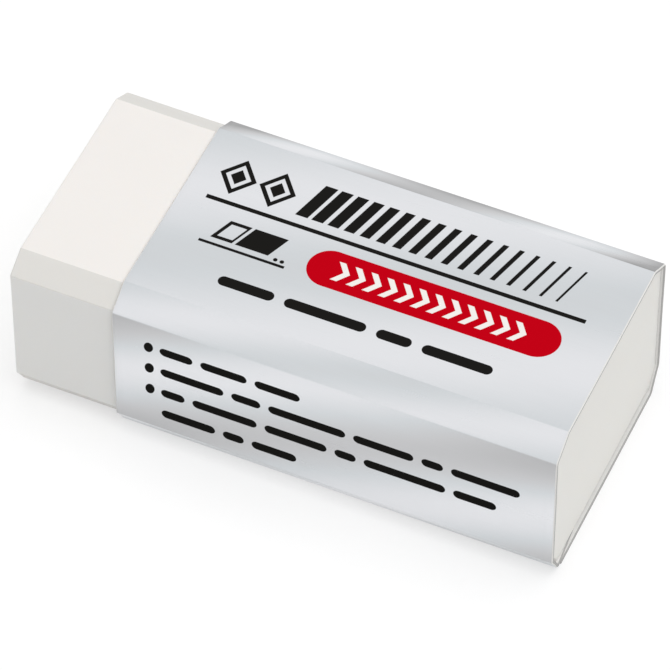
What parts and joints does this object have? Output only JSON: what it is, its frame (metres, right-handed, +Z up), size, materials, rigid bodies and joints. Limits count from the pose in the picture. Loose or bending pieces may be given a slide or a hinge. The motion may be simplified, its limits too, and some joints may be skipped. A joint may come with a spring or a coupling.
{
  "type": "eraser",
  "caption": "Rectangular white vinyl eraser with bevelled long edges, held in a sliding sleeve of silver foil-faced card that leaves one end bare.",
  "frame": {"origin": "on the flat underside of the sleeve, midway along and across the block", "axes": "+X along the length towards the covered end, +Y across, away from the lower edge where the sleeve's last panel ends, +Z up from the underside"},
  "size_m": [0.0412, 0.0198, 0.0141],
  "materials": {
    "vinyl": "smooth soft white vinyl, slightly sheened",
    "foil_card": "satin silver foil printed in black and red over white card"
  },
  "bodies": {
    "block": {"eraser_block": "vinyl"},
    "sleeve": {"card_sleeve": "foil_card"}
  },
  "joints": [
    {"name": "sleeve_slide", "type": "slide", "parent": "block", "child": "sleeve", "axis": [1, 0, 0], "range_m": [-0.008, 0.018]}
  ]
}
